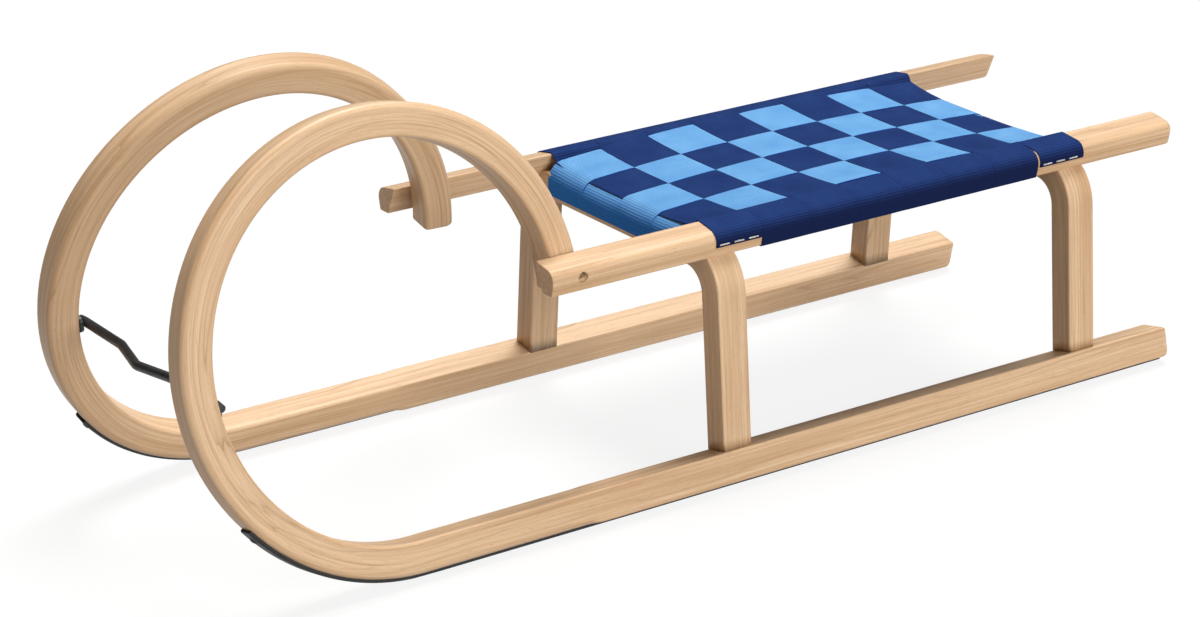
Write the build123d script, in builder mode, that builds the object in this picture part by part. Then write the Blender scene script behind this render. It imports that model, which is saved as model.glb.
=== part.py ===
"""Horn sled: two bentwood runners that curl up into horns, steel shoes, two bows, two seat rails,
a seat woven from webbing and a bent pull rod. Millimetres, X forward, Y to the left, Z up."""

import os
from math import acos, atan2, cos, pi, radians, sin, tan

from build123d import *

os.makedirs("parts", exist_ok=True)

# runner: a square stick that leans inward, bent into a horn whose tip is drawn in to the seat rail
CANT_DEG = 12.5
TIP_CANT_DEG = 7.1
RUNNER_WIDTH = 27.0
RUNNER_THICK = 27.5
RUNNER_TAIL = 103.5
RUNNER_INNER_Y = 140.2
HORN_RADIUS = 160.5
HORN_TIP_BELOW_RAIL = 8.0
EASED_EDGE_START = 129.0
OUTSIDE_EASE = 3.6
INSIDE_EASE = 1.8

# shoe under the runner
SHOE_THICK = 3.0
SHOE_WIDTH = 16.0
SHOE_END_ANGLE = 38.5
SHOE_REAR_SETBACK = 3.0

# bows: an upturned U of the same kind of stick, standing on both runners
BOW_SPACING = 386.5
BOW_THICK = 24.0
BOW_DEPTH = 29.0
BOW_UNDERSIDE_Z = 184.5
BOW_BEND_RADIUS = 22.0
LEG_FOOT_IN = 2.4
LEG_SPLAY = 0.075
TENON_RADIUS = 7.0
TENON_LENGTH = 15.0

# seat rails on the shoulders of the bows, outside the horn tips
RAIL_TAIL = 122.5
RAIL_LEAD = 169.8
RAIL_SINK = 10.5
RAIL_HEIGHT = 25.3
RAIL_OUTER_DROP = 5.2
RAIL_TOP_WIDTH = 28.3
RAIL_BOTTOM_WIDTH = 12.8
RAIL_INNER_SLANT = 11.2
RAIL_TOP_ROUND = 6.0
RAIL_EDGE_ROUND = 1.2
SCREW_SETBACK = 29.7
SCREW_RISE = 11.5
SCREW_POCKET_RADIUS = 4.5
SCREW_POCKET_DEPTH = 6.0

# seat webbing: eight cross straps and four long straps in plain weave
CROSS_STRAPS = 8
LONG_STRAPS = 4
STRAP_THICK = 1.2
STRAP_GAP = 4.1
SEAT_END_MARGIN = 5.0
SEAT_SIDE_MARGIN = 5.2
SEAT_BELOW_RAIL = 3.4
SEAT_CROWN = 0.45
HEM_STRAIGHT = 1.4
LONG_STRAP_END_RISE = 4.5

# pull rod between the horns
ROD_RADIUS = 4.0
ROD_DROP_ANGLE = 7.2
ROD_WELD = 0.8
ROD_NOSE_REACH = 11.0
ROD_NOSE_HALF_SPAN = 46.0
ROD_BEND_RADIUS = 12.0
ROD_END_PAST_TAB = 4.4
TAB_THICK = 3.5
TAB_WIDTH = 18.0
TAB_HEIGHT = 14.0
TAB_ACROSS = 10.0

# clearances
WOOD_FIT = 0.2
TENON_FIT = 0.15
TAB_FIT = 0.3
STRAP_FIT = 0.2
WEAVE_FIT = 0.3
CROSSING_MARGIN = 0.7

cant = radians(CANT_DEG)
outward = Vector(0, cos(cant), sin(cant))
upward = Vector(0, -sin(cant), cos(cant))
shoe_edge = (RUNNER_WIDTH - SHOE_WIDTH) / 2

# the inner edge of each shoe is the lowest line of the sled
runner_z = SHOE_THICK * cos(cant) - shoe_edge * sin(cant)


def runner_point(x, across, height):
    """Point of the left runner from its station, its distance from the inner face and its height."""
    return Vector(x, RUNNER_INNER_Y, runner_z) + outward * across + upward * height


def runner_plane(across):
    """Plane of the left runner, with its first axis forward, its second up and its normal inward."""
    return Plane(origin=runner_point(0, across, 0), x_dir=(1, 0, 0), z_dir=-outward)


# the rails sit a little below the tops of the bows
bow_top_z = BOW_UNDERSIDE_Z + BOW_THICK
rail_bottom_z = bow_top_z - RAIL_SINK
rail_top_z = rail_bottom_z + RAIL_HEIGHT
screw_z = rail_bottom_z + SCREW_RISE

# the horn is one round bend, and past its top it leans less than the runner
horn_centre_h = RUNNER_THICK + HORN_RADIUS
horn_outside = HORN_RADIUS + RUNNER_THICK
horn_middle = HORN_RADIUS + RUNNER_THICK / 2
horn_top_z = runner_point(0, RUNNER_WIDTH / 2, horn_centre_h + horn_middle).Z
tip_cant = radians(TIP_CANT_DEG)
tip_outward = Vector(0, cos(tip_cant), sin(tip_cant))
tip_upward = Vector(0, -sin(tip_cant), cos(tip_cant))


def back_angle(z):
    """Angle past the horn's top at which the middle of its stick has come down to a height."""
    return acos(1 - (horn_top_z - z) / (horn_middle * cos(tip_cant)))


# stations: the sled's box is centred, from the tails of the rails to the fronts of the horns
screw_from_bows = BOW_SPACING / 2 + RAIL_LEAD - SCREW_SETBACK
horn_from_bows = screw_from_bows + horn_middle * sin(back_angle(screw_z))
bow_centre_x = (BOW_SPACING / 2 + RAIL_TAIL - horn_from_bows - horn_outside) / 2
horn_x = bow_centre_x + horn_from_bows
bow_xs = {"front": bow_centre_x + BOW_SPACING / 2, "rear": bow_centre_x - BOW_SPACING / 2}
runner_rear_x = bow_xs["rear"] - RUNNER_TAIL
ease_x = bow_xs["front"] + BOW_DEPTH / 2 + EASED_EDGE_START
rail_rear_x = bow_xs["rear"] - RAIL_TAIL
rail_front_x = bow_xs["front"] + RAIL_LEAD


def horn_arc(depth, sweep):
    """Arc of the horn in the runner plane, from its heel, at a depth outside its inside edge."""
    return JernArc((horn_x, RUNNER_THICK - depth), (1, 0), HORN_RADIUS + depth, sweep)


def flip(vector, side):
    """Vector for the left side, or its mirror image for the right."""
    return Vector(vector.X, side * vector.Y, vector.Z)


# the middle of a leg meets the top of its runner at the foot
foot = runner_point(0, RUNNER_WIDTH / 2 - LEG_FOOT_IN, RUNNER_THICK)
leg_down = Vector(0, LEG_SPLAY, -1).normalized()


def leg_y(z):
    """Distance of a leg's middle from the sled's centre line at a height."""
    return foot.Y - LEG_SPLAY * (z - foot.Z)


def stick_middle(x, height):
    """Middle of the stick's width at a station and a height of the left runner."""
    return runner_point(x, RUNNER_WIDTH / 2, height)


def front_of_horn(angle):
    """Middle of the stick at an angle from the horn's heel, up to its top."""
    return stick_middle(horn_x + horn_middle * sin(angle), horn_centre_h - horn_middle * cos(angle))


def back_of_horn(angle):
    """Middle of the stick at an angle past the horn's top."""
    backward = Vector(-horn_middle * sin(angle), 0, 0)
    return front_of_horn(pi) + backward - tip_upward * (horn_middle * (1 - cos(angle)))


tip_angle = back_angle(rail_bottom_z - HORN_TIP_BELOW_RAIL)
ease_start = stick_middle(ease_x, RUNNER_THICK / 2)
across_stick = Plane(ease_start, x_dir=outward, z_dir=(1, 0, 0))
with BuildPart() as runner_left:
    with BuildLine() as bend:
        Line(ease_start, front_of_horn(0))
        ThreePointArc(front_of_horn(0), front_of_horn(pi / 2), front_of_horn(pi))
        ThreePointArc(back_of_horn(0), back_of_horn(tip_angle / 2), back_of_horn(tip_angle))
    with BuildSketch(across_stick) as section:
        Rectangle(RUNNER_WIDTH, RUNNER_THICK)
        levels = section.vertices().group_by(Axis.Y)
        chamfer(levels[0], OUTSIDE_EASE)
        chamfer(levels[-1], INSIDE_EASE)
    sweep(path=bend.line)
    with BuildSketch(across_stick):
        Rectangle(RUNNER_WIDTH, RUNNER_THICK)
    extrude(amount=runner_rear_x - ease_x)
    for bow_x in bow_xs.values():
        with Locations(Plane(origin=(bow_x, foot.Y, foot.Z), z_dir=leg_down)):
            Cylinder(TENON_RADIUS + TENON_FIT, 2 * (TENON_LENGTH + TENON_FIT), mode=Mode.SUBTRACT)

with BuildPart() as shoe_left:
    with BuildSketch(runner_plane(shoe_edge)):
        with BuildLine():
            shoe_rear_x = runner_rear_x + SHOE_REAR_SETBACK
            upper = horn_arc(RUNNER_THICK, 90 - SHOE_END_ANGLE)
            lower = horn_arc(RUNNER_THICK + SHOE_THICK, 90 - SHOE_END_ANGLE)
            Line(upper @ 1, lower @ 1)
            Polyline(upper @ 0, (shoe_rear_x, 0), (shoe_rear_x, -SHOE_THICK), lower @ 0)
        make_face()
    extrude(amount=-SHOE_WIDTH)


def bow_blank(bow_x, grow):
    """Bow as bent, with its legs still too long, and with its section grown all round."""
    half = BOW_THICK / 2 + grow
    top_z = bow_top_z + grow
    under_z = BOW_UNDERSIDE_Z - grow
    with BuildPart() as blank:
        with BuildSketch(Plane.YZ.offset(bow_x)) as section:
            with BuildLine():
                Polyline(
                    (leg_y(0) + half, 0),
                    (leg_y(top_z) + half, top_z),
                    (-leg_y(top_z) - half, top_z),
                    (-leg_y(0) - half, 0),
                    (half - leg_y(0), 0),
                    (half - leg_y(under_z), under_z),
                    (leg_y(under_z) - half, under_z),
                    (leg_y(0) - half, 0),
                    close=True,
                )
            make_face()
            # corners from the ground up: the legs' ends, the inside bends and the outside bends
            levels = section.vertices().group_by(Axis.Y)
            fillet(levels[-1], BOW_BEND_RADIUS + BOW_THICK + grow)
            fillet(levels[-2], BOW_BEND_RADIUS - grow)
        extrude(amount=BOW_DEPTH / 2 + grow, both=True)
    return blank.part


bows = {}
for place, bow_x in bow_xs.items():
    with BuildPart() as bow:
        add(bow_blank(bow_x, 0))
        for side in (1, -1):
            split(bisect_by=Plane(flip(foot, side), z_dir=flip(upward, side)), keep=Keep.TOP)
        for side in (1, -1):
            bow_foot = flip(Vector(bow_x, foot.Y, foot.Z), side)
            with Locations(Plane(bow_foot, z_dir=flip(leg_down, side))):
                Cylinder(TENON_RADIUS, 2 * TENON_LENGTH)
    bows[place] = bow.part

# the inner top edge of the rail lies along the outer front edge of the horn's tip
tip_roll = cant - tip_cant
rail_angle = back_angle(rail_top_z)
radial = tip_upward * cos(rail_angle) - Vector(sin(rail_angle), 0, 0)
tip_sideways = tip_outward * cos(tip_roll) + radial * sin(tip_roll)
tip_backward = radial * cos(tip_roll) - tip_outward * sin(tip_roll)
tip_edge = back_of_horn(rail_angle) + tip_sideways * (RUNNER_WIDTH / 2) - tip_backward * (RUNNER_THICK / 2)
rail_inner_y = tip_edge.Y + WOOD_FIT
rail_foot_y = rail_inner_y + RAIL_INNER_SLANT
rail_corners = [
    Vector(rail_inner_y, rail_top_z),
    Vector(rail_inner_y + RAIL_TOP_WIDTH, rail_top_z - RAIL_OUTER_DROP),
    Vector(rail_foot_y + RAIL_BOTTOM_WIDTH, rail_bottom_z),
    Vector(rail_foot_y, rail_bottom_z),
]
outer_side = rail_corners[1] - rail_corners[2]
screw_point = rail_corners[2] + outer_side * (SCREW_RISE / outer_side.Y)
rail_outward = Vector(0, outer_side.Y, -outer_side.X).normalized()

with BuildPart() as rail_left:
    with BuildSketch(Plane.YZ.offset(rail_rear_x)) as section:
        with BuildLine():
            Polyline(*rail_corners, close=True)
        make_face()
        fillet(section.vertices().sort_by(Axis.X)[:-1], RAIL_EDGE_ROUND)
        fillet(section.vertices().sort_by(Axis.X)[-1], RAIL_TOP_ROUND)
    extrude(amount=rail_front_x - rail_rear_x)
    for bow_x in bow_xs.values():
        add(bow_blank(bow_x, WOOD_FIT), mode=Mode.SUBTRACT)
    screw_x = rail_front_x - SCREW_SETBACK
    with Locations(Plane((screw_x, screw_point.X, screw_point.Y), z_dir=rail_outward)):
        Cylinder(SCREW_POCKET_RADIUS, 2 * SCREW_POCKET_DEPTH, mode=Mode.SUBTRACT)

# the cross straps fill the length between the bows, and the long straps the width between the rails
seat_length = BOW_SPACING + BOW_DEPTH - 2 * SEAT_END_MARGIN
seat_width = 2 * (rail_inner_y - SEAT_SIDE_MARGIN)
cross_pitch = seat_length / CROSS_STRAPS
long_pitch = seat_width / LONG_STRAPS
cross_width = cross_pitch - STRAP_GAP
long_width = long_pitch - STRAP_GAP
seat_z = rail_top_z - SEAT_BELOW_RAIL


def grown_corner(number):
    """Corner of the rail section moved out by the strap's clearance from both of its sides."""
    here = rail_corners[number]
    before = (here - rail_corners[number - 1]).normalized()
    after = (rail_corners[(number + 1) % len(rail_corners)] - here).normalized()
    return here + (before - after) * (STRAP_FIT / abs(before.cross(after).Z))


def seat_level(number, over):
    """Underside of a strap where it crosses cross strap `number`, over or under the other strap."""
    from_middle = number - (CROSS_STRAPS + 1) / 2
    weave = (STRAP_THICK + WEAVE_FIT) / 2
    return seat_z - SEAT_CROWN * from_middle**2 + (weave if over else -weave) - STRAP_THICK / 2


def cross_x(number):
    """Station of the middle of a cross strap, counted from the front."""
    return bow_centre_x - (number - (CROSS_STRAPS + 1) / 2) * cross_pitch


def long_y(number):
    """Distance of the middle of a long strap from the centre line, counted from the right."""
    return (number - (LONG_STRAPS + 1) / 2) * long_pitch


def ribbon(plane, points, rounds, width):
    """Strap along a path of corner points, some of them rounded, lying on the path's left side."""
    with BuildPart() as strap:
        with BuildSketch(plane):
            with BuildLine() as path:
                Polyline(*points)
                for corner, radius in rounds:
                    fillet(path.vertices().sort_by_distance(corner)[0], radius)
                offset(amount=STRAP_THICK, side=Side.LEFT)
            make_face()
        extrude(amount=width / 2, both=True)
    return strap.part


straps = {}
top_in, top_out, bottom_out, bottom_in = (grown_corner(number) for number in range(4))
top_round = RAIL_TOP_ROUND + STRAP_FIT
bottom_round = RAIL_EDGE_ROUND + STRAP_FIT

# a strap that crosses above a bow ends on the rail's outer side, just past the round
down = (bottom_out - top_out).normalized()
along = (top_out - top_in).normalized()
turn = atan2(abs(along.cross(down).Z), along.dot(down))
hem = top_out + down * (top_round * tan(turn / 2) + HEM_STRAIGHT)
for number in range(1, CROSS_STRAPS + 1):
    above_bow = number in (1, CROSS_STRAPS)
    seat = []
    for crossing in range(1, LONG_STRAPS + 1):
        z = seat_level(number, (number + crossing) % 2 == 1)
        seat.append((long_y(crossing) - long_width / 2 - CROSSING_MARGIN, z))
        seat.append((long_y(crossing) + long_width / 2 + CROSSING_MARGIN, z))
    wrap = [top_in, top_out, hem] if above_bow else [top_in, top_out, bottom_out, bottom_in]
    rounds = [(top_out, top_round)] if above_bow else [(top_out, top_round), (bottom_out, bottom_round)]
    right = [(-point.X, point.Y) for point in reversed(wrap)]
    left = [(point.X, point.Y) for point in wrap]
    rounds = [((side * corner.X, corner.Y), radius) for corner, radius in rounds for side in (1, -1)]
    path = right + seat + left
    straps[f"cross_strap_{number}"] = ribbon(Plane.YZ.offset(cross_x(number)), path, rounds, cross_width)

front_x = bow_xs["front"] + BOW_DEPTH / 2 + STRAP_FIT
rear_x = bow_xs["rear"] - BOW_DEPTH / 2 - STRAP_FIT
long_end_z = BOW_UNDERSIDE_Z + LONG_STRAP_END_RISE
for number in range(1, LONG_STRAPS + 1):
    seat = []
    for crossing in range(CROSS_STRAPS, 0, -1):
        z = seat_level(crossing, (number + crossing) % 2 == 0)
        seat.append((cross_x(crossing) - cross_width / 2 - CROSSING_MARGIN, z))
        seat.append((cross_x(crossing) + cross_width / 2 + CROSSING_MARGIN, z))
    bends = [(rear_x, seat[0][1]), (front_x, seat[-1][1])]
    # each bend begins past the last crossing and ends above the edge of its bow
    bend_radius = min(front_x - seat[-1][0] - WEAVE_FIT, seat[0][1] - bow_top_z, seat[-1][1] - bow_top_z)
    path = [(rear_x, long_end_z), bends[0], *seat, bends[1], (front_x, long_end_z)]
    plane = Plane.XZ.offset(-long_y(number))
    straps[f"long_strap_{number}"] = ribbon(plane, path, [(bend, bend_radius) for bend in bends], long_width)

# the tabs of the rod lie against the inside of the horns
drop = radians(ROD_DROP_ANGLE)
tab_inward = upward * sin(drop) - Vector(cos(drop), 0, 0)
tab_seat = runner_point(horn_x + HORN_RADIUS * cos(drop), TAB_ACROSS, horn_centre_h - HORN_RADIUS * sin(drop))
with BuildPart() as tab_left:
    with BuildSketch(Plane(tab_seat + tab_inward * TAB_FIT, outward, tab_inward)):
        RectangleRounded(TAB_WIDTH, TAB_HEIGHT, TAB_HEIGHT / 3)
    extrude(amount=TAB_THICK)

rod_seat = tab_seat + tab_inward * (TAB_FIT + TAB_THICK + ROD_RADIUS - ROD_WELD)
rod_end_y = rod_seat.Y + ROD_END_PAST_TAB
with BuildPart() as pull_rod:
    with BuildLine(Plane.XY.offset(rod_seat.Z)) as rod_path:
        FilletPolyline(
            (rod_seat.X, -rod_end_y),
            (rod_seat.X, -ROD_NOSE_HALF_SPAN),
            (rod_seat.X + ROD_NOSE_REACH, 0),
            (rod_seat.X, ROD_NOSE_HALF_SPAN),
            (rod_seat.X, rod_end_y),
            radius=ROD_BEND_RADIUS,
        )
    with BuildSketch(Plane((rod_seat.X, -rod_end_y, rod_seat.Z), z_dir=(0, 1, 0))):
        Circle(ROD_RADIUS)
    sweep(path=rod_path.line)
    add(tab_left.part)
    mirror(tab_left.part, about=Plane.XZ)

pieces = {
    "runner_left": runner_left.part,
    "shoe_left": shoe_left.part,
    "rail_left": rail_left.part,
}
for name in list(pieces):
    with BuildPart() as twin:
        mirror(pieces[name], about=Plane.XZ)
    pieces[name.replace("left", "right")] = twin.part
pieces.update({f"bow_{place}": part for place, part in bows.items()})
pieces["pull_rod"] = pull_rod.part
pieces.update(straps)

for name, part in pieces.items():
    part.label = name
    export_step(part, f"parts/{name}.step")
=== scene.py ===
"""Looks of the horn sled: bentwood with grain along its bends, woven webbing, painted rod, steel shoes."""

from math import acos, atan2, cos, pi, radians, sin, sqrt, tan, tanh

import bmesh
import bpy
from mathutils import Matrix, Vector


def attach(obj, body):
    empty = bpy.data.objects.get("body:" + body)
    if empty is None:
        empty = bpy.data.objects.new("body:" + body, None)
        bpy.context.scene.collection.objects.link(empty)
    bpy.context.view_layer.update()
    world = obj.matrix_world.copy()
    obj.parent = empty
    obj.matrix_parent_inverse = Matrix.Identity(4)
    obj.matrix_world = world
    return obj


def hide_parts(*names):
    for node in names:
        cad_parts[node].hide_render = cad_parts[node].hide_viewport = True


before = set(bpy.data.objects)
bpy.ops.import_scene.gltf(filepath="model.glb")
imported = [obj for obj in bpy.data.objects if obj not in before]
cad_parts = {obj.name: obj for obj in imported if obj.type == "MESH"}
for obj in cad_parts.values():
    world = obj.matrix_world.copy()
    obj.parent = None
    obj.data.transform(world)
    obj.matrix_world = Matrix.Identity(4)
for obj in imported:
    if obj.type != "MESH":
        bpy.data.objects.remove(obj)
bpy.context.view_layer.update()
scene = bpy.context.scene
MM = 0.001

# sizes as in the solids: lengths in millimetres, angles in radians
CANT = radians(12.5)
TIP_CANT = radians(7.1)
RUNNER_WIDTH = 27.0
RUNNER_THICK = 27.5
RUNNER_INNER_Y = 140.2
RUNNER_TAIL = 103.5
HORN_RADIUS = 160.5
HORN_TIP_BELOW_RAIL = 8.0
EASED_EDGE_START = 129.0
SHOE_THICK = 3.0
SHOE_WIDTH = 16.0
SHOE_END_ANGLE = radians(38.5)
BOW_SPACING = 386.5
BOW_THICK = 24.0
BOW_DEPTH = 29.0
BOW_UNDERSIDE_Z = 184.5
BOW_BEND_RADIUS = 22.0
LEG_FOOT_IN = 2.4
LEG_SPLAY = 0.075
RAIL_TAIL = 122.5
RAIL_LEAD = 169.8
RAIL_SINK = 10.5
RAIL_HEIGHT = 25.3
RAIL_OUTER_DROP = 5.2
RAIL_TOP_WIDTH = 28.3
RAIL_BOTTOM_WIDTH = 12.8
RAIL_INNER_SLANT = 11.2
RAIL_EDGE_ROUND = 1.2
SCREW_SETBACK = 29.7
SCREW_RISE = 11.5
SCREW_POCKET_RADIUS = 4.5
SCREW_POCKET_DEPTH = 6.0
CROSS_STRAPS = 8
LONG_STRAPS = 4
SEAT_END_MARGIN = 5.0
SEAT_SIDE_MARGIN = 5.2
SEAT_BELOW_RAIL = 3.4
SEAT_CROWN = 0.45
HEM_STRAIGHT = 1.4
LONG_STRAP_END_RISE = 4.5
ROD_RADIUS = 4.0
ROD_DROP = radians(7.2)
ROD_WELD = 0.8
ROD_NOSE_REACH = 11.0
ROD_NOSE_HALF_SPAN = 46.0
ROD_BEND_RADIUS = 12.0
ROD_END_PAST_TAB = 4.4
TAB_THICK = 3.5
TAB_WIDTH = 18.0
TAB_HEIGHT = 14.0
TAB_ACROSS = 10.0
TAB_FIT = 0.3
WOOD_FIT = 0.2
STRAP_FIT = 0.2

# roundings and setbacks of the finished sticks and shoes
STICK_ROUND = 1.6
HORN_OUTSIDE_ROUND = 6.5
HORN_INSIDE_ROUND = 3.2
EASE_RUN_OUT = 14.0
RUNNER_END_ROUND = 10.0
TIP_END_ROUND = 3.0
RAIL_TOP_ROUND = 10.0
RAIL_FRONT_ROUND = 0.8
RAIL_REAR_ROUND = 8.5
SHOE_REAR_SETBACK = 9.5
SHOE_EDGE_ROUND = 2.6
SHOE_END_ROUND = 1.0
BOW_TOP_ROUND = 11.0
TAB_EDGE_ROUND = 0.6
POCKET_LIP_DEPTH = 0.8
POCKET_LIP_WIDTH = 0.7

# webbing as it lies
WEB_WIDTH = 50.66
FRONT_WEB_WIDTH = 48.3
REAR_WEB_SETBACK = 2.4
WEB_BEND = 16.0
WEB_RAIL_BEND = 5.0
WEB_THICK = 0.8
WEB_WAVE = 0.54
WEB_CRISPNESS = 3.6

# fasteners
RAIL_SCREW_RADIUS = 3.9
RAIL_SCREW_DOME = 0.8
RAIL_SCREW_RISE = 1.2
SHOE_SCREW_RADIUS = 4.2
SHOE_SCREW_DOME = 1.5
SHOE_SCREW_SETBACK = radians(3.2)
SCREW_HEAD_SKIRT = 0.6
STAPLES = 3
STAPLE_PITCH = 15.0
STAPLE_LENGTH = 10.0
STAPLE_WIDTH = 1.1
STAPLE_THICK = 0.8
STAPLE_ROUND = 0.35
STAPLE_LIFT = 0.35
STAPLE_ABOVE_HEM = 2.6

# spacing of the points along each mesh
STICK_STEP = 30.0
HORN_STEPS = 110
SHOE_BEND_STEP = 4.0
BOW_STEP = 12.0
BOW_ARC_STEP = radians(4)
RAIL_STEP = 40.0
ROD_STEP = 8.0
ROD_ARC_STEP = radians(3)
ROD_SIDES = 20
WEB_STEP = 1.6

outward = Vector((0, cos(CANT), sin(CANT)))
upward = Vector((0, -sin(CANT), cos(CANT)))
forward = Vector((1, 0, 0))
shoe_edge = (RUNNER_WIDTH - SHOE_WIDTH) / 2
runner_z = SHOE_THICK * cos(CANT) - shoe_edge * sin(CANT)


def runner_point(x, across, height):
    """Point of the left runner from its station, its distance from the inner face and its height."""
    return Vector((x, RUNNER_INNER_Y, runner_z)) + outward * across + upward * height


bow_top_z = BOW_UNDERSIDE_Z + BOW_THICK
rail_bottom_z = bow_top_z - RAIL_SINK
rail_top_z = rail_bottom_z + RAIL_HEIGHT
horn_centre_h = RUNNER_THICK + HORN_RADIUS
horn_middle = HORN_RADIUS + RUNNER_THICK / 2
horn_top_z = runner_point(0, RUNNER_WIDTH / 2, horn_centre_h + horn_middle).z
tip_outward = Vector((0, cos(TIP_CANT), sin(TIP_CANT)))
tip_upward = Vector((0, -sin(TIP_CANT), cos(TIP_CANT)))
tip_roll = CANT - TIP_CANT


def back_angle(z):
    """Angle past the horn's top at which the middle of its stick has come down to a height."""
    return acos(1 - (horn_top_z - z) / (horn_middle * cos(TIP_CANT)))


horn_sweep = pi + back_angle(rail_bottom_z - HORN_TIP_BELOW_RAIL)
screw_turn = back_angle(rail_bottom_z + SCREW_RISE)
horn_from_bows = BOW_SPACING / 2 + RAIL_LEAD - SCREW_SETBACK + horn_middle * sin(screw_turn)
bow_centre_x = (BOW_SPACING / 2 + RAIL_TAIL - horn_from_bows - HORN_RADIUS - RUNNER_THICK) / 2
horn_x = bow_centre_x + horn_from_bows
bow_xs = {"front": bow_centre_x + BOW_SPACING / 2, "rear": bow_centre_x - BOW_SPACING / 2}
runner_rear_x = bow_xs["rear"] - RUNNER_TAIL
ease_x = bow_xs["front"] + BOW_DEPTH / 2 + EASED_EDGE_START
rail_rear_x = bow_xs["rear"] - RAIL_TAIL
rail_front_x = bow_xs["front"] + RAIL_LEAD
foot = runner_point(0, RUNNER_WIDTH / 2 - LEG_FOOT_IN, RUNNER_THICK)


class Material:
    """Principled material whose colour, roughness and bump are built from procedural nodes."""

    def __init__(self, name):
        self.material = bpy.data.materials.new(name)
        self.material.use_nodes = True
        self.tree = self.material.node_tree
        self.shader = self.tree.nodes["Principled BSDF"]

    def add(self, kind, inputs=(), **settings):
        node = self.tree.nodes.new(kind)
        for key, value in settings.items():
            setattr(node, key, value)
        for key, value in dict(inputs).items():
            self.feed(node.inputs[key], value)
        return node

    def feed(self, socket, value):
        if isinstance(value, bpy.types.NodeSocket):
            self.tree.links.new(value, socket)
        else:
            socket.default_value = value

    def math(self, operation, first, second=0.0, third=0.5):
        return self.add("ShaderNodeMath", {0: first, 1: second, 2: third}, operation=operation).outputs[0]

    def scaled(self, vector, scale):
        return self.add("ShaderNodeVectorMath", {0: vector, 1: scale}, operation="MULTIPLY").outputs[0]

    def noise(self, vector, scale, detail=2.0, roughness=0.5):
        inputs = {"Vector": self.scaled(vector, scale), "Scale": 1.0}
        inputs.update({"Detail": detail, "Roughness": roughness})
        return self.add("ShaderNodeTexNoise", inputs).outputs["Fac"]

    def ramp(self, value, stops):
        node = self.add("ShaderNodeValToRGB", {"Fac": value})
        elements = node.color_ramp.elements
        while len(elements) < len(stops):
            elements.new(0.5)
        for element, (position, colour) in zip(elements, stops):
            element.position = position
            element.color = (*colour, 1) if len(colour) == 3 else colour
        return node.outputs["Color"]

    def grey(self, value, stops):
        return self.ramp(value, [(position, (level, level, level)) for position, level in stops])

    def mix(self, factor, first, second, blend="MIX"):
        node = self.add("ShaderNodeMix", data_type="RGBA", blend_type=blend)
        self.feed(node.inputs["Factor"], factor)
        self.feed(node.inputs[6], first if isinstance(first, bpy.types.NodeSocket) else (*first, 1))
        self.feed(node.inputs[7], second if isinstance(second, bpy.types.NodeSocket) else (*second, 1))
        return node.outputs[2]

    def bump(self, height, strength, distance):
        inputs = {"Height": height, "Strength": strength, "Distance": distance}
        self.feed(self.shader.inputs["Normal"], self.add("ShaderNodeBump", inputs).outputs["Normal"])

    def set(self, **sockets):
        for key, value in sockets.items():
            self.feed(self.shader.inputs[key.replace("_", " ")], value)


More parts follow.
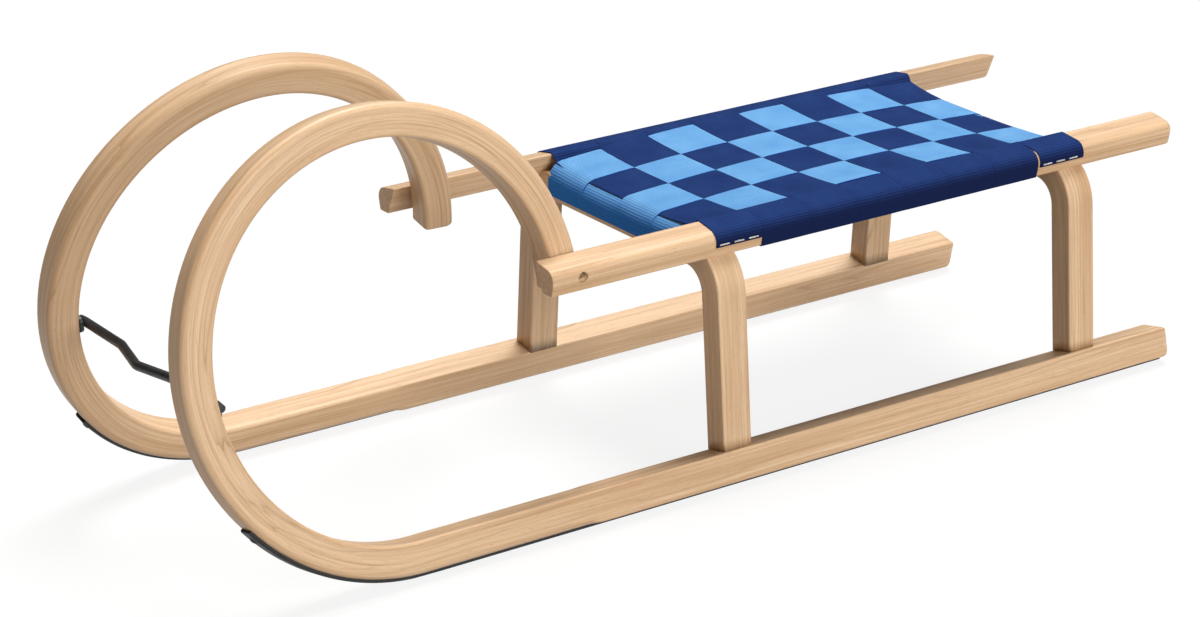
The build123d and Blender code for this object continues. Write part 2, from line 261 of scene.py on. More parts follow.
def wood(name, from_position):
    """Pale bentwood: growth rings, fibre streaks and pores along the grain coordinate of each stick."""
    made = Material(name)
    if from_position:
        place = made.add("ShaderNodeTexCoord").outputs["Object"]
        parts = made.add("ShaderNodeSeparateXYZ", {0: place}).outputs
        grain = made.add("ShaderNodeCombineXYZ", {0: parts[0], 1: parts[2], 2: parts[1]}).outputs[0]
    else:
        grain = made.add("ShaderNodeAttribute", attribute_name="grain").outputs["Vector"]
    along, layer, width = made.add("ShaderNodeSeparateXYZ", {0: grain}).outputs
    drift = made.noise(grain, (1.7, 30.0, 26.0), 2.0, 0.5)
    waver = made.noise(grain, (9.0, 120.0, 70.0), 2.0)
    rings = made.math("MULTIPLY", layer, 240.0)
    rings = made.math("ADD", rings, made.math("MULTIPLY", along, 1.3))
    rings = made.math("ADD", rings, made.math("MULTIPLY", width, 70.0))
    rings = made.math("ADD", rings, made.math("MULTIPLY", drift, 11.0))
    rings = made.math("ADD", rings, made.math("MULTIPLY", waver, 1.3))
    ring = made.math("FRACT", rings)
    late = made.grey(ring, [(0.0, 1.0), (0.12, 0.3), (0.4, 0.0), (0.78, 0.08), (0.93, 0.6), (1.0, 1.0)])
    which = made.math("FLOOR", rings)
    odd = made.add("ShaderNodeTexWhiteNoise", {"W": which}, noise_dimensions="1D").outputs["Value"]
    late = made.math("MULTIPLY", late, made.math("POWER", odd, 1.7))
    fade = made.grey(made.noise(grain, (7.0, 60.0, 60.0), 2.0), [(0.32, 0.35), (0.6, 1.0)])
    late = made.math("MULTIPLY", late, fade)
    fibre = made.noise(grain, (24.0, 1300.0, 1300.0), 3.0, 0.6)
    streak = made.noise(grain, (4.0, 300.0, 240.0), 4.0, 0.65)
    tone = made.noise(grain, (2.4, 38.0, 30.0), 2.0)
    pore = made.grey(made.noise(grain, (120.0, 2200.0, 2200.0), 1.0), [(0.64, 0.0), (0.74, 1.0)])
    honey, cream, bright = (0.61, 0.395, 0.225), (0.765, 0.535, 0.335), (0.86, 0.66, 0.46)
    tan_streak, late_wood = (0.50, 0.295, 0.15), (0.36, 0.19, 0.085)
    dark_fibre, dark_pore = (0.46, 0.275, 0.14), (0.30, 0.165, 0.08)
    colour = made.ramp(tone, [(0.3, honey), (0.68, cream)])
    colour = made.mix(made.grey(streak, [(0.5, 0.0), (0.7, 0.6)]), colour, bright)
    colour = made.mix(made.grey(streak, [(0.3, 0.75), (0.47, 0.0)]), colour, tan_streak)
    colour = made.mix(made.math("MULTIPLY", late, 0.85), colour, late_wood)
    colour = made.mix(made.grey(fibre, [(0.3, 0.3), (0.6, 0.0)]), colour, dark_fibre)
    colour = made.mix(made.math("MULTIPLY", pore, 0.4), colour, dark_pore)
    made.set(Base_Color=colour, Roughness=made.grey(fibre, [(0.2, 0.52), (0.8, 0.4)]))
    height = made.math("SUBTRACT", made.math("MULTIPLY", fibre, 0.6), made.math("MULTIPLY", pore, 0.7))
    made.bump(height, 0.25, 0.00012)
    made.shader.inputs["Specular IOR Level"].default_value = 0.35
    made.shader.inputs["Coat Weight"].default_value = 0.08
    made.shader.inputs["Coat Roughness"].default_value = 0.3
    return made.material


def webbing(name, dark, light, thread, painted_shade):
    """Ribbed webbing: ribs across its length, fine warp yarns along it, with painted shade: darker and deeper
    in colour on faces that turn away from up, and in the rib valleys and yarn grooves.
    """
    made = Material(name)
    uv = made.add("ShaderNodeUVMap", uv_map="web").outputs["UV"]
    parts = made.add("ShaderNodeSeparateXYZ", {0: uv}).outputs
    along, across = parts[0], parts[1]
    shaky = made.math("MULTIPLY", made.noise(uv, (55.0, 90.0, 1.0), 2.0), 0.0007)
    rib = made.math("SINE", made.math("MULTIPLY", made.math("ADD", along, shaky), 2 * pi / 0.0024))
    rib = made.math("MULTIPLY_ADD", rib, 0.5)
    yarn = made.math("SINE", made.math("MULTIPLY", across, 2 * pi / 0.0012))
    yarn = made.math("MULTIPLY_ADD", yarn, 0.5)
    tone = made.noise(uv, (26.0, 34.0, 1.0), 3.0, 0.55)
    fleck = made.noise(uv, (600.0, 800.0, 1.0), 2.0)
    colour = made.mix(made.grey(tone, [(0.3, 0.0), (0.7, 1.0)]), dark, light)
    colour = made.mix(made.grey(fleck, [(0.56, 0.0), (0.75, 0.45)]), colour, thread)
    # painted shade: the less a face points up, the more it takes the darker, deeper shade colour
    facing = made.add("ShaderNodeNewGeometry").outputs["True Normal"]
    rise = made.add("ShaderNodeSeparateXYZ", {0: facing}).outputs[2]
    colour = made.mix(made.grey(rise, [(0.15, 0.0), (0.95, 1.0)]), painted_shade, colour)
    # painted shade: the rib valleys and the grooves between the warp yarns take a darker share of the shade
    # colour, following the bump
    colour = made.mix(made.grey(rib, [(0.0, 0.5), (0.5, 0.0)]), colour, [level * 0.5 for level in painted_shade])
    colour = made.mix(made.grey(yarn, [(0.0, 0.2), (0.5, 0.0)]), colour, [level * 0.6 for level in painted_shade])
    made.set(Base_Color=colour, Roughness=made.grey(fleck, [(0.3, 0.7), (0.7, 0.9)]))
    made.bump(made.math("ADD", rib, made.math("MULTIPLY", yarn, 0.35)), 0.5, 0.00035)
    made.shader.inputs["Specular IOR Level"].default_value = 0.04
    return made.material


def metal(name, dark, light, metallic, rough, stretch):
    """Metal with drawn streaks, mottled gloss and small scuffs."""
    made = Material(name)
    place = made.add("ShaderNodeTexCoord").outputs["Object"]
    mottle = made.noise(place, (60.0, 60.0, 60.0), 3.0)
    streak = made.noise(place, stretch, 3.0, 0.6)
    scuff = made.grey(made.noise(place, (420.0, 420.0, 420.0), 2.0), [(0.64, 0.0), (0.78, 0.6)])
    colour = made.mix(made.grey(streak, [(0.3, 0.0), (0.7, 1.0)]), dark, light)
    colour = made.mix(scuff, colour, [min(1.0, level * 1.6) for level in light])
    made.set(Base_Color=colour, Roughness=made.grey(mottle, [(0.3, rough - 0.08), (0.7, rough + 0.1)]))
    made.shader.inputs["Metallic"].default_value = metallic
    made.bump(streak, 0.2, 0.00015)
    return made.material


bent_wood = wood("bent_wood", from_position=False)
rail_wood = wood("rail_wood", from_position=True)
navy = webbing(
    "navy_webbing",
    dark=(0.011, 0.034, 0.148),
    light=(0.018, 0.05, 0.195),
    thread=(0.04, 0.08, 0.25),
    # colour of the painted shade on the sides, the roll and in the grooves
    painted_shade=(0.009, 0.018, 0.078),
)
blue = webbing(
    "blue_webbing",
    dark=(0.135, 0.36, 0.69),
    light=(0.195, 0.455, 0.78),
    thread=(0.29, 0.56, 0.86),
    # colour of the painted shade on the sides, the roll and in the grooves
    painted_shade=(0.04, 0.235, 0.80),
)
black = ((0.012, 0.013, 0.016), (0.022, 0.023, 0.027))
black_paint = metal("black_paint", *black, 0.0, 0.42, (300.0, 300.0, 300.0))
dark_steel = metal("dark_steel", (0.008, 0.008, 0.010), (0.018, 0.018, 0.021), 0.2, 0.6, (14.0, 700.0, 700.0))
brass = metal("brass", (0.20, 0.15, 0.075), (0.34, 0.26, 0.14), 0.6, 0.45, (260.0, 260.0, 260.0))
zinc = metal("zinc", (0.52, 0.50, 0.46), (0.70, 0.68, 0.63), 0.85, 0.36, (260.0, 260.0, 260.0))


def rectangle(left, low, right, high):
    """Corners of a rectangle, anticlockwise from its lower left."""
    return [Vector((left, low)), Vector((right, low)), Vector((right, high)), Vector((left, high))]


def circle(radius, steps):
    """Points of a circle round the origin, as pairs."""
    angles = [2 * pi * step / steps for step in range(steps)]
    return [(radius * cos(angle), radius * sin(angle)) for angle in angles]


def inset_corners(corners, amount):
    """Corners of a convex section after each of its sides has moved inward."""
    count = len(corners)
    moved = []
    for number in range(count):
        before = (corners[number] - corners[number - 1]).normalized()
        after = (corners[(number + 1) % count] - corners[number]).normalized()
        moved.append(corners[number] + (after - before) * (amount / abs(before.cross(after))))
    return moved


def rounded_section(corners, radii, steps=6):
    """Outline of a convex section, anticlockwise, with an arc at each corner."""
    count = len(corners)
    outline = []
    for number in range(count):
        here = corners[number]
        before = (corners[number - 1] - here).normalized()
        after = (corners[(number + 1) % count] - here).normalized()
        half = acos(max(-1.0, min(1.0, before.dot(after)))) / 2
        bisector = (before + after).normalized()
        centre = here + bisector * (radii[number] / sin(half))
        start = here + before * (radii[number] / tan(half)) - centre
        turn = pi - 2 * half
        for step in range(steps):
            angle = turn * step / (steps - 1)
            outline.append(centre + Matrix.Rotation(angle, 2) @ start)
    return outline


def finish_mesh(name, bm, material):
    """Smooth object made from a bmesh in millimetres, riding on the sled."""
    bmesh.ops.recalc_face_normals(bm, faces=bm.faces)
    for vertex in bm.verts:
        vertex.co *= MM
    mesh = bpy.data.meshes.new(name)
    bm.to_mesh(mesh)
    bm.free()
    for polygon in mesh.polygons:
        polygon.use_smooth = True
    mesh.materials.append(material)
    made = bpy.data.objects.new(name, mesh)
    scene.collection.objects.link(made)
    made.modifiers.new("normals", "WEIGHTED_NORMAL").weight = 100
    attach(made, "root")
    return made


def loft(bm, rings, grain=None):
    """Skin over rings of points, closed at both ends, with a grain coordinate for each point where given."""
    layer = bm.verts.layers.float_vector.new("grain") if grain else None
    rows = []
    for number, ring in enumerate(rings):
        row = [bm.verts.new(point) for point in ring]
        if grain:
            for vertex, value in zip(row, grain[number]):
                vertex[layer] = value
        rows.append(row)
    for first, second in zip(rows, rows[1:]):
        for number in range(len(first)):
            after = (number + 1) % len(first)
            bm.faces.new((first[number], first[after], second[after], second[number]))
    bm.faces.new(rows[0])
    bm.faces.new(rows[-1])


def end_insets(radius, steps=5):
    """Distances from an end and the insets there that round the end's edges."""
    angles = [0.5 * pi * step / steps for step in range(steps + 1)]
    return [(radius * (1 - sin(angle)), radius * (1 - cos(angle))) for angle in reversed(angles)]


def smoothstep(value):
    """Smooth rise from 0 to 1 as a value goes from 0 to 1."""
    value = max(0.0, min(1.0, value))
    return value * value * (3 - 2 * value)


def with_ends(length, stations, first_round, last_round):
    """Stations of a stick as pairs of distance and inset, with both of its ends rounded."""
    first = end_insets(first_round)
    last = [(length - distance, inset) for distance, inset in reversed(end_insets(last_round))]
    middle = [(s, 0.0) for s in stations if first_round + 0.5 < s < length - last_round - 0.5]
    return first + middle + last


straight_length = horn_x - runner_rear_x
runner_length = straight_length + horn_middle * horn_sweep


def horn_back(turn, across, height):
    """Point of the left horn at an angle past its top, where it leans less than the runner."""
    swing = tip_upward * cos(turn) - forward * sin(turn)
    sideways = tip_outward * cos(tip_roll) + swing * sin(tip_roll)
    backward = swing * cos(tip_roll) - tip_outward * sin(tip_roll)
    top = runner_point(horn_x, RUNNER_WIDTH / 2, horn_centre_h + horn_middle)
    middle = top + (swing - tip_upward) * horn_middle
    return middle + sideways * (across - RUNNER_WIDTH / 2) + backward * (RUNNER_THICK / 2 - height)


def runner_place(s, across, height):
    """Point of the left runner at a length along its stick, as bent."""
    if s <= straight_length:
        return runner_point(runner_rear_x + s, across, height)
    angle = (s - straight_length) / horn_middle
    if angle > pi:
        return horn_back(angle - pi, across, height)
    radius = HORN_RADIUS + RUNNER_THICK - height
    return runner_point(horn_x + radius * sin(angle), across, horn_centre_h - radius * cos(angle))


def mirrored(vector, side):
    """Point or direction of the left side, or its mirror image for the right."""
    return Vector((vector.x, side * vector.y, vector.z))


def make_runner(side, offset):
    """Runner that curls up into the horn, with edges that ease into rounder ones on the bend."""
    stations = [STICK_STEP * step for step in range(1, int(straight_length / STICK_STEP) + 1)]
    stop = ease_x - runner_rear_x
    stations += [stop + EASE_RUN_OUT * step / 4 for step in range(5)]
    sweep = horn_middle * horn_sweep
    stations += [straight_length + sweep * step / HORN_STEPS for step in range(HORN_STEPS + 1)]
    rings, grain = [], []
    for s, inset in with_ends(runner_length, sorted(set(stations)), RUNNER_END_ROUND, TIP_END_ROUND):
        eased = smoothstep((s - stop) / EASE_RUN_OUT)
        outside = STICK_ROUND + (HORN_OUTSIDE_ROUND - STICK_ROUND) * eased
        inside = STICK_ROUND + (HORN_INSIDE_ROUND - STICK_ROUND) * eased
        corners = inset_corners(rectangle(0, 0, RUNNER_WIDTH, RUNNER_THICK), inset)
        outline = rounded_section(corners, [outside, outside, inside, inside])
        rings.append([mirrored(runner_place(s, *point), side) for point in outline])
        grain.append([((s + offset) * MM, point.y * MM, (point.x + offset) * MM) for point in outline])
    bm = bmesh.new()
    loft(bm, rings, grain)
    name = "left" if side > 0 else "right"
    made = finish_mesh(f"horn_runner_{name}", bm, bent_wood)
    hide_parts(f"runner_{name}")


def make_shoe(side):
    """Steel strip under the runner, with rounded lower edges, up to its end on the horn."""
    length = straight_length - SHOE_REAR_SETBACK + horn_middle * (0.5 * pi - SHOE_END_ANGLE)
    stations = [STICK_STEP * step for step in range(1, int(length / STICK_STEP) + 1)]
    bend_steps = int((length - straight_length) / SHOE_BEND_STEP)
    stations += [straight_length + SHOE_BEND_STEP * step for step in range(bend_steps)]
    corners = rectangle(shoe_edge, -SHOE_THICK, shoe_edge + SHOE_WIDTH, 0)
    rings = []
    for s, inset in with_ends(length, sorted(stations), SHOE_END_ROUND, SHOE_END_ROUND):
        radii = [SHOE_EDGE_ROUND - inset, SHOE_EDGE_ROUND - inset, 0.1, 0.1]
        outline = rounded_section(inset_corners(corners, inset), radii)
        rings.append([mirrored(runner_place(s + SHOE_REAR_SETBACK, *point), side) for point in outline])
    bm = bmesh.new()
    loft(bm, rings)
    name = "left" if side > 0 else "right"
    made = finish_mesh(f"sole_shoe_{name}", bm, dark_steel)
    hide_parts(f"shoe_{name}")


def trace(points, radii, straight_step, arc_step=radians(7)):
    """Points along a polyline whose inner corners are rounded, as 2D vectors."""
    points = [Vector(point) for point in points]
    traced = [points[0]]

    def run_to(goal):
        start = traced[-1]
        steps = max(1, round((goal - start).length / straight_step))
        for step in range(1, steps + 1):
            traced.append(start.lerp(goal, step / steps))

    for number in range(1, len(points) - 1):
        here, radius = points[number], radii[number - 1]
        before = (points[number - 1] - here).normalized()
        after = (points[number + 1] - here).normalized()
        half = acos(max(-1.0, min(1.0, before.dot(after)))) / 2
        if radius <= 0 or half > pi / 2 - 0.001:
            run_to(here)
            continue
        run_to(here + before * (radius / tan(half)))
        centre = here + (before + after).normalized() * (radius / sin(half))
        start = traced[-1] - centre
        turn = (pi - 2 * half) * (-1 if before.cross(after) > 0 else 1)
        steps = max(2, round(abs(turn) / arc_step))
        for step in range(1, steps + 1):
            traced.append(centre + Matrix.Rotation(turn * step / steps, 2) @ start)
    run_to(points[-1])
    return traced


def along_path(path):
    """Lengths so far and left-hand normals at the points of a path."""
    lengths, normals = [0.0], []
    for first, second in zip(path, path[1:]):
        lengths.append(lengths[-1] + (second - first).length)
    for number in range(len(path)):
        tangent = path[min(number + 1, len(path) - 1)] - path[max(number - 1, 0)]
        normals.append(Vector((-tangent.y, tangent.x)).normalized())
    return lengths, normals


# the inner top edge of the rail lies along the outer front edge of the horn's tip
rail_inner_y = horn_back(back_angle(rail_top_z), RUNNER_WIDTH, RUNNER_THICK).y + WOOD_FIT
rail_foot_y = rail_inner_y + RAIL_INNER_SLANT
rail_corners = [
    Vector((rail_inner_y, rail_top_z)),
    Vector((rail_inner_y + RAIL_TOP_WIDTH, rail_top_z - RAIL_OUTER_DROP)),
    Vector((rail_foot_y + RAIL_BOTTOM_WIDTH, rail_bottom_z)),
    Vector((rail_foot_y, rail_bottom_z)),
]
outer_side = rail_corners[1] - rail_corners[2]
outer_normal = Vector((0, outer_side.y, -outer_side.x)).normalized()
screw_place = rail_corners[2] + outer_side * (SCREW_RISE / outer_side.y)
screw_point = Vector((rail_front_x - SCREW_SETBACK, screw_place.x, screw_place.y))

seat_z = rail_top_z - SEAT_BELOW_RAIL
cross_pitch = (BOW_SPACING + BOW_DEPTH - 2 * SEAT_END_MARGIN) / CROSS_STRAPS
long_pitch = 2 * (rail_inner_y - SEAT_SIDE_MARGIN) / LONG_STRAPS
seat_half = LONG_STRAPS / 2 * long_pitch


def make_bow(place, bow_x, offset):
    """Upturned U of bentwood whose top edges are rounder under the seat."""
    lean = sqrt(1 + LEG_SPLAY**2)
    middle_z = BOW_UNDERSIDE_Z + BOW_THICK / 2
    top_y = foot.y - LEG_SPLAY * (middle_z - foot.z)
    corners = [(foot.y, foot.z), (top_y, middle_z), (-top_y, middle_z), (-foot.y, foot.z)]
    bend = BOW_BEND_RADIUS + BOW_THICK / 2
    path = trace(corners, [bend, bend], BOW_STEP, BOW_ARC_STEP)
    lengths, normals = along_path(path)
    section = rectangle(-BOW_THICK / 2, -BOW_DEPTH / 2, BOW_THICK / 2, BOW_DEPTH / 2)
    rings, grain = [], []
    for number, (centre, normal) in enumerate(zip(path, normals)):
        ring = []
        under_seat = smoothstep((seat_half - abs(centre.x)) / BOW_BEND_RADIUS)
        top_edge = STICK_ROUND + (BOW_TOP_ROUND - STICK_ROUND) * under_seat
        outline = rounded_section(section, [top_edge, STICK_ROUND, STICK_ROUND, top_edge])
        for point in outline:
            y, z = centre + normal * point.x
            if number in (0, len(path) - 1):
                # the foot is cut to the top of the leaning runner
                side = 1 if number == 0 else -1
                drop = (y * side - foot.y) * -sin(CANT) + (z - foot.z) * cos(CANT)
                slide = drop / ((cos(CANT) + LEG_SPLAY * sin(CANT)) / lean)
                y += side * slide * LEG_SPLAY / lean
                z -= slide / lean
            ring.append(Vector((bow_x + point.y, y, z)))
        rings.append(ring)
        s = lengths[number] + offset
        grain.append([(s * MM, point.x * MM, (point.y + offset) * MM) for point in outline])
    bm = bmesh.new()
    loft(bm, rings, grain)
    made = finish_mesh(f"bent_bow_{place}", bm, bent_wood)
    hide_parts(f"bow_{place}")


def turned(bm, profile, centre, axis, steps=32):
    """Solid of revolution from radius and height pairs, set on a point along an axis."""
    turn = axis.to_track_quat("Z", "Y")
    rings = []
    for radius, height in profile:
        rings.append([centre + turn @ Vector((x, y, height)) for x, y in circle(radius, steps)])
    loft(bm, rings)


def make_rail(side):
    """Seat rail with a domed rear end and a pocket for its screw."""
    length = rail_front_x - rail_rear_x
    radii = [RAIL_EDGE_ROUND, RAIL_TOP_ROUND, RAIL_EDGE_ROUND, RAIL_EDGE_ROUND]
    rings = []
    stations = [RAIL_STEP * step for step in range(1, int(length / RAIL_STEP) + 1)]
    for s, inset in with_ends(length, stations, RAIL_REAR_ROUND, RAIL_FRONT_ROUND):
        anticlockwise = list(reversed(rail_corners))
        shrunk = [max(0.6, radius - inset) for radius in reversed(radii)]
        outline = rounded_section(inset_corners(anticlockwise, inset), shrunk, 8)
        rings.append([Vector((rail_rear_x + s, side * point.x, point.y)) for point in outline])
    bm = bmesh.new()
    loft(bm, rings)
    name = "left" if side > 0 else "right"
    made = finish_mesh(f"seat_rail_{name}", bm, rail_wood)
    cutter_bm = bmesh.new()
    radius, lip = SCREW_POCKET_RADIUS, SCREW_POCKET_RADIUS + POCKET_LIP_WIDTH
    pocket = [(radius, -SCREW_POCKET_DEPTH), (radius, -POCKET_LIP_DEPTH), (lip, 0.1), (lip + 0.1, 3.0)]
    turned(cutter_bm, pocket, mirrored(screw_point, side), mirrored(outer_normal, side))
    bmesh.ops.recalc_face_normals(cutter_bm, faces=cutter_bm.faces)
    bmesh.ops.scale(cutter_bm, vec=(MM, MM, MM), verts=cutter_bm.verts)
    cutter_mesh = bpy.data.meshes.new("pocket")
    cutter_bm.to_mesh(cutter_mesh)
    cutter_bm.free()
    cutter = bpy.data.objects.new("pocket", cutter_mesh)
    scene.collection.objects.link(cutter)
    boolean = made.modifiers.new("pocket", "BOOLEAN")
    boolean.object = cutter
    made.modifiers.move(1, 0)
    bpy.context.view_layer.update()
    evaluated = made.evaluated_get(bpy.context.evaluated_depsgraph_get())
    cut_mesh = bpy.data.meshes.new_from_object(evaluated)
    made.modifiers.clear()
    made.data = cut_mesh
    bpy.data.objects.remove(cutter)
    made.modifiers.new("normals", "WEIGHTED_NORMAL").weight = 100
    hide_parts(f"rail_{name}")


def wave(position, pitch, crossings):
    """Weave height along a strap, flat over each crossing and past the last, in units of its height."""
    last = (crossings - 1) / 2 * pitch
    position = max(-last, min(last, position))
    return tanh(WEB_CRISPNESS * sin(pi * position / pitch)) / tanh(WEB_CRISPNESS)


def grown_corner(number):
    """Corner of the rail section moved out by the strap's clearance from both of its sides."""
    here = rail_corners[number]
    before = (here - rail_corners[number - 1]).normalized()
    after = (rail_corners[(number + 1) % len(rail_corners)] - here).normalized()
    return here + (before - after) * (STRAP_FIT / abs(before.cross(after)))


top_in, top_out, bottom_out, bottom_in = (grown_corner(number) for number in range(4))
down = (bottom_out - top_out).normalized()
along = (top_out - top_in).normalized()
top_round = RAIL_TOP_ROUND + STRAP_FIT
turn = atan2(abs(along.cross(down)), along.dot(down))
hem = top_out + down * (top_round * tan(turn / 2) + HEM_STRAIGHT)
rail_level = top_in.y + WEB_THICK / 2
seat_flat = BOW_SPACING / 2 + BOW_DEPTH / 2 + STRAP_FIT - WEB_BEND


def seat_surface(x, y):
    """Height of the seat's middle surface, crowned along its length and slung between the rails."""
    from_middle = min(seat_flat, abs(x - bow_centre_x))
    share = min(1.0, abs(y) / rail_inner_y)
    return seat_z - SEAT_CROWN * (from_middle / cross_pitch) ** 2 + (rail_level - seat_z) * share**3


def seat_roll(x, y):
    """Drop of the seat's surface where it rolls over a bow, less toward the rails."""
    past = min(0.9 * WEB_BEND, max(0.0, abs(x - bow_centre_x) - seat_flat))
    share = min(1.0, abs(y) / rail_inner_y)
    return (WEB_BEND - sqrt(WEB_BEND**2 - past**2)) * (1 - share**3)


def make_strap(name, node, path, put, material, width):
    """Strap along a path of its underside, swept across its width with soft selvedges."""
    lengths, normals = along_path(path)
    half = width / 2
    # places across the strap, with the shares of its thickness where its two faces lie there
    selvedge = [(-half, 0.2, 0.8), (-half + 0.2, 0.04, 0.96), (-half + 1.5, 0.0, 1.0)]
    profile = [*selvedge, (-half / 2, 0.0, 1.06)]
    profile += [(0.0, 0.0, 1.08)] + [(-across, low, high) for across, low, high in reversed(profile)]
    ring_places = [(across, high) for across, low, high in profile]
    ring_places += [(across, low) for across, low, high in reversed(profile)]
    bm = bmesh.new()
    rows = []
    for centre, normal in zip(path, normals):
        ring = [put(centre + normal * (share * WEB_THICK), across) for across, share in ring_places]
        rows.append([bm.verts.new(point) for point in ring])
    web = bm.loops.layers.uv.new("web")
    count = len(ring_places)
    for number, (first, second) in enumerate(zip(rows, rows[1:])):
        for place in range(count):
            after = (place + 1) % count
            face = bm.faces.new((first[place], first[after], second[after], second[place]))
            ends = [(number, place), (number, after), (number + 1, after), (number + 1, place)]
            for loop, (row, column) in zip(face.loops, ends):
                loop[web].uv = (lengths[row] * MM, ring_places[column][0] * MM)
    for row, ring in ((0, rows[0]), (len(rows) - 1, rows[-1])):
        face = bm.faces.new(ring)
        for loop, (across, share) in zip(face.loops, ring_places):
            loop[web].uv = (lengths[row] * MM, across * MM)
    made = finish_mesh(name, bm, material)
    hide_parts(node)


def make_cross_strap(number):
    """Navy strap over both rails, woven through the long straps; the first and last end above the bows."""
    width = FRONT_WEB_WIDTH if number == 1 else WEB_WIDTH
    setback = (WEB_WIDTH - FRONT_WEB_WIDTH) / 2 if number == 1 else 0.0
    x = bow_centre_x - (number - (CROSS_STRAPS + 1) / 2) * cross_pitch - setback
    above_bow = number in (1, CROSS_STRAPS)
    sign = -1 if number % 2 else 1
    seat = []
    steps = round(2 * seat_half / WEB_STEP)
    for step in range(steps + 1):
        y = -seat_half + 2 * seat_half * step / steps
        height = sign * WEB_WAVE * wave(y, long_pitch, LONG_STRAPS)
        seat.append(Vector((y, seat_surface(x, y) - WEB_THICK / 2 + height)))
    wrap = [top_in, top_out, hem] if above_bow else [top_in, top_out, bottom_out, bottom_in]
    radii = [WEB_RAIL_BEND, top_round]
    if not above_bow:
        radii.append(RAIL_EDGE_ROUND + STRAP_FIT)
    left = trace([seat[-1], *wrap], radii, WEB_STEP)[1:]
    right = trace([seat[0] * Vector((-1, 1)), *wrap], radii, WEB_STEP)[1:]
    right = [Vector((-point.x, point.y)) for point in reversed(right)]

    def put(point, across):
        clear_of_rail = smoothstep((rail_inner_y - abs(point.x)) / SEAT_SIDE_MARGIN)
        lift = (seat_surface(x + across, point.x) - seat_surface(x, point.x)) * clear_of_rail
        over_rail = smoothstep((abs(point.x) - rail_inner_y) / RAIL_TOP_WIDTH)
        drift = REAR_WEB_SETBACK * over_rail if number == CROSS_STRAPS else 0.0
        return Vector((x + across - drift, point.x, point.y + lift - seat_roll(x + across, point.x)))

    name, node = f"cross_webbing_{number}", f"cross_strap_{number}"
    path = right + seat + left
    make_strap(name, node, path, put, navy, width)


def make_long_strap(number):
    """Light blue strap over both bows, woven through the cross straps."""
    y = (number - (LONG_STRAPS + 1) / 2) * long_pitch
    front_x = bow_xs["front"] + BOW_DEPTH / 2 + STRAP_FIT
    rear_x = bow_xs["rear"] - BOW_DEPTH / 2 - STRAP_FIT
    end_z = BOW_UNDERSIDE_Z + LONG_STRAP_END_RISE
    start_x, stop_x = rear_x + WEB_BEND, front_x - WEB_BEND
    steps = round((stop_x - start_x) / WEB_STEP)
    sign = -1 if number % 2 else 1
    seat = []
    for step in range(steps + 1):
        x = start_x + (stop_x - start_x) * step / steps
        height = sign * WEB_WAVE * wave(x - bow_centre_x, cross_pitch, CROSS_STRAPS)
        seat.append(Vector((x, seat_surface(x, y) - WEB_THICK / 2 + height)))
    rear = trace([(rear_x, end_z), (rear_x, seat[0].y), seat[0]], [WEB_BEND - 0.1], WEB_STEP)[:-1]
    front = trace([seat[-1], (front_x, seat[-1].y), (front_x, end_z)], [WEB_BEND - 0.1], WEB_STEP)[1:]

    def put(point, across):
        hang = (point.y - end_z) / (seat[0].y - end_z)
        lift = (seat_surface(point.x, y + across) - seat_surface(point.x, y)) * min(1.0, hang)
        return Vector((point.x, y + across, point.y + lift))

    name, node = f"long_webbing_{number}", f"long_strap_{number}"
    path = rear + seat + front
    make_strap(name, node, path, put, blue, WEB_WIDTH)


def make_rod():
    """Rod with a nose that points forward, domed ends, and a tab behind each end."""
    tab_inward = upward * sin(ROD_DROP) - forward * cos(ROD_DROP)
    seat_x = horn_x + HORN_RADIUS * cos(ROD_DROP)
    tab_seat = runner_point(seat_x, TAB_ACROSS, horn_centre_h - HORN_RADIUS * sin(ROD_DROP))
    rod_seat = tab_seat + tab_inward * (TAB_FIT + TAB_THICK + ROD_RADIUS - ROD_WELD)
    end_y = rod_seat.y + ROD_END_PAST_TAB
    corners = [(-end_y, rod_seat.x), (-ROD_NOSE_HALF_SPAN, rod_seat.x), (0, rod_seat.x + ROD_NOSE_REACH)]
    corners += [(ROD_NOSE_HALF_SPAN, rod_seat.x), (end_y, rod_seat.x)]
    path = trace(corners, [ROD_BEND_RADIUS] * 3, ROD_STEP, ROD_ARC_STEP)
    normals = along_path(path)[1]
    bm = bmesh.new()
    rings = []
    ends = [(0, 0.5), (0, 0.85)] + [(number, 1.0) for number in range(1, len(path) - 1)]
    ends += [(len(path) - 1, 0.85), (len(path) - 1, 0.5)]
    for order, (number, share) in enumerate(ends):
        centre, normal = path[number], normals[number]
        if order == 1:
            centre = centre + Vector((0.6, 0))
        if order == len(ends) - 2:
            centre = centre - Vector((0.6, 0))
        ring = []
        for across, rise in circle(ROD_RADIUS * share, ROD_SIDES):
            y, x = centre + normal * across
            ring.append(Vector((x, y, rod_seat.z + rise)))
        rings.append(ring)
    loft(bm, rings)
    tab = rectangle(-TAB_WIDTH / 2, -TAB_HEIGHT / 2, TAB_WIDTH / 2, TAB_HEIGHT / 2)
    tab_rise = tab_inward.cross(outward)
    for side in (1, -1):
        rings = []
        for distance, inset in with_ends(TAB_THICK, [], TAB_EDGE_ROUND, TAB_EDGE_ROUND):
            outline = rounded_section(inset_corners(tab, inset), [TAB_HEIGHT / 3] * 4)
            base = tab_seat + tab_inward * (TAB_FIT + distance)
            rings.append([mirrored(base + outward * point.x + tab_rise * point.y, side) for point in outline])
        loft(bm, rings)
    made = finish_mesh("bent_pull_rod", bm, black_paint)
    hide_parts("pull_rod")


